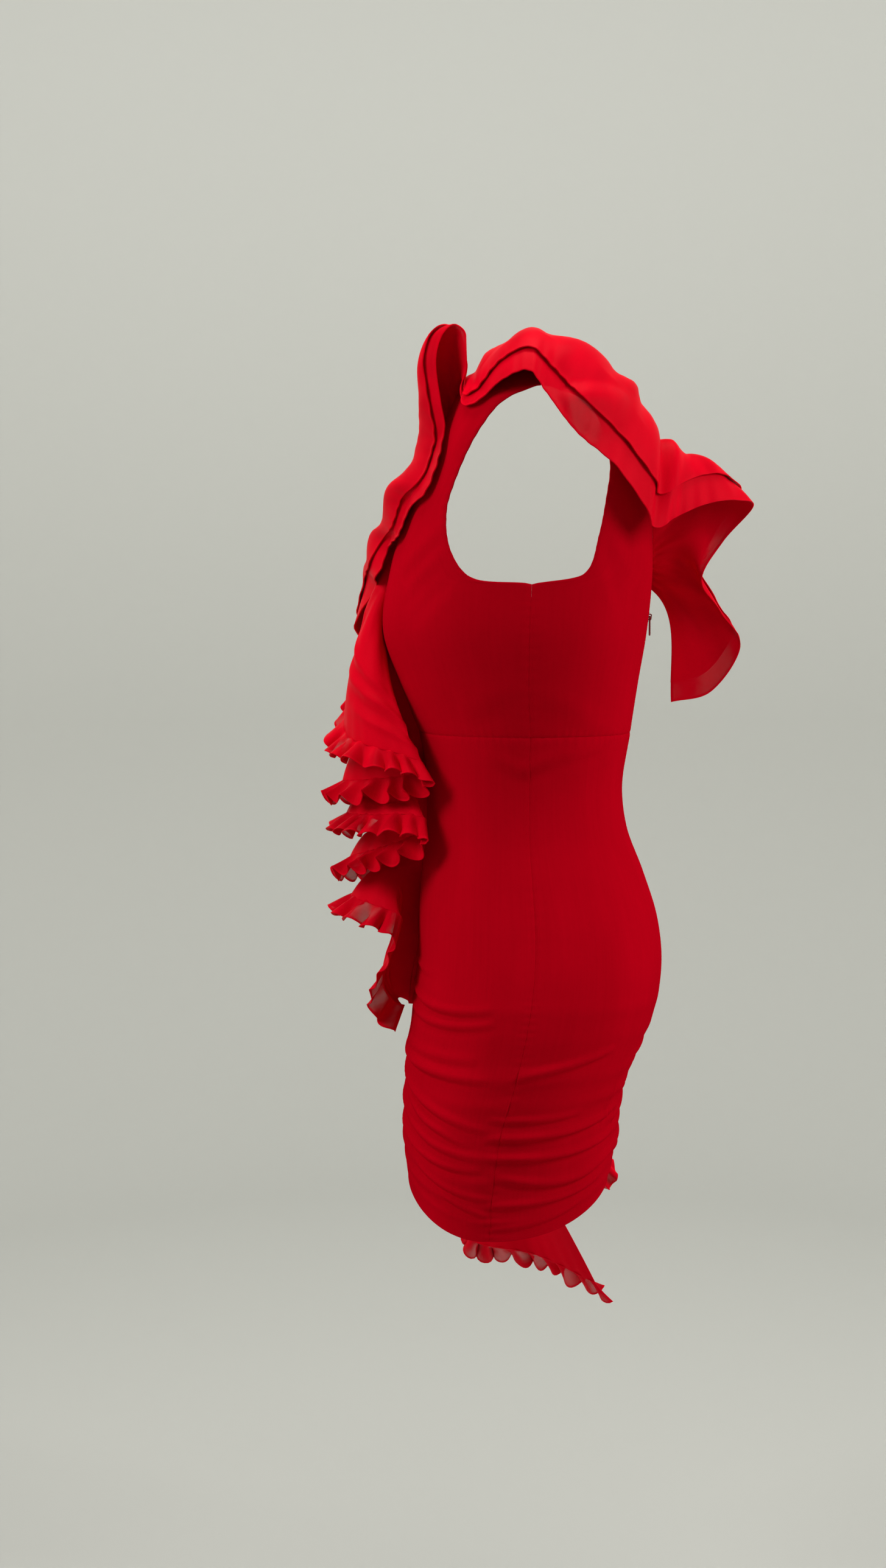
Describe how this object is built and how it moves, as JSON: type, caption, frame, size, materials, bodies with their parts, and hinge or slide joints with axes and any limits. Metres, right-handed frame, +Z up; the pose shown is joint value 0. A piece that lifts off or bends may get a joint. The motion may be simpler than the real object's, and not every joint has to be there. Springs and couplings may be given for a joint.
{
  "type": "one-shoulder dress",
  "caption": "Close-fitting one-shoulder dress in its hollow worn shape, with a flounce along the neckline, frilled cascades, skirt folds and a back zip.",
  "frame": {"origin": "underside of the strap on the wearer's left shoulder, where the wearer holds the dress up", "axes": "+Z up along the body, +X to the wearer's left, -Y to the wearer's front"},
  "size_m": [0.4278, 0.4036, 0.9967],
  "materials": {
    "knit": "smooth stretch knit",
    "satin": "soft satin",
    "zip_coil": "dyed coil",
    "zip_metal": "painted"
  },
  "bodies": {
    "dress": {"bodice_front": "knit", "bodice_back_left": "knit", "bodice_back_right": "knit", "skirt_front": "knit", "skirt_back_right": "knit", "skirt_back_left": "knit", "flounce_under": "satin", "flounce_upper": "satin", "cascade_front": "satin", "cascade_front_frill": "satin", "cascade_hip": "satin", "cascade_hip_frill": "satin", "zip_coil": "zip_coil", "zip_slider": "zip_metal"},
    "zip_pull": {"zip_pull": "zip_metal"}
  },
  "joints": [
    {"name": "zip_pull_hinge", "type": "hinge", "parent": "dress", "child": "zip_pull", "pos_m": [-0.1, 0.11103, -0.226], "axis": [1, 0, 0], "range_deg": [0, 150]}
  ]
}
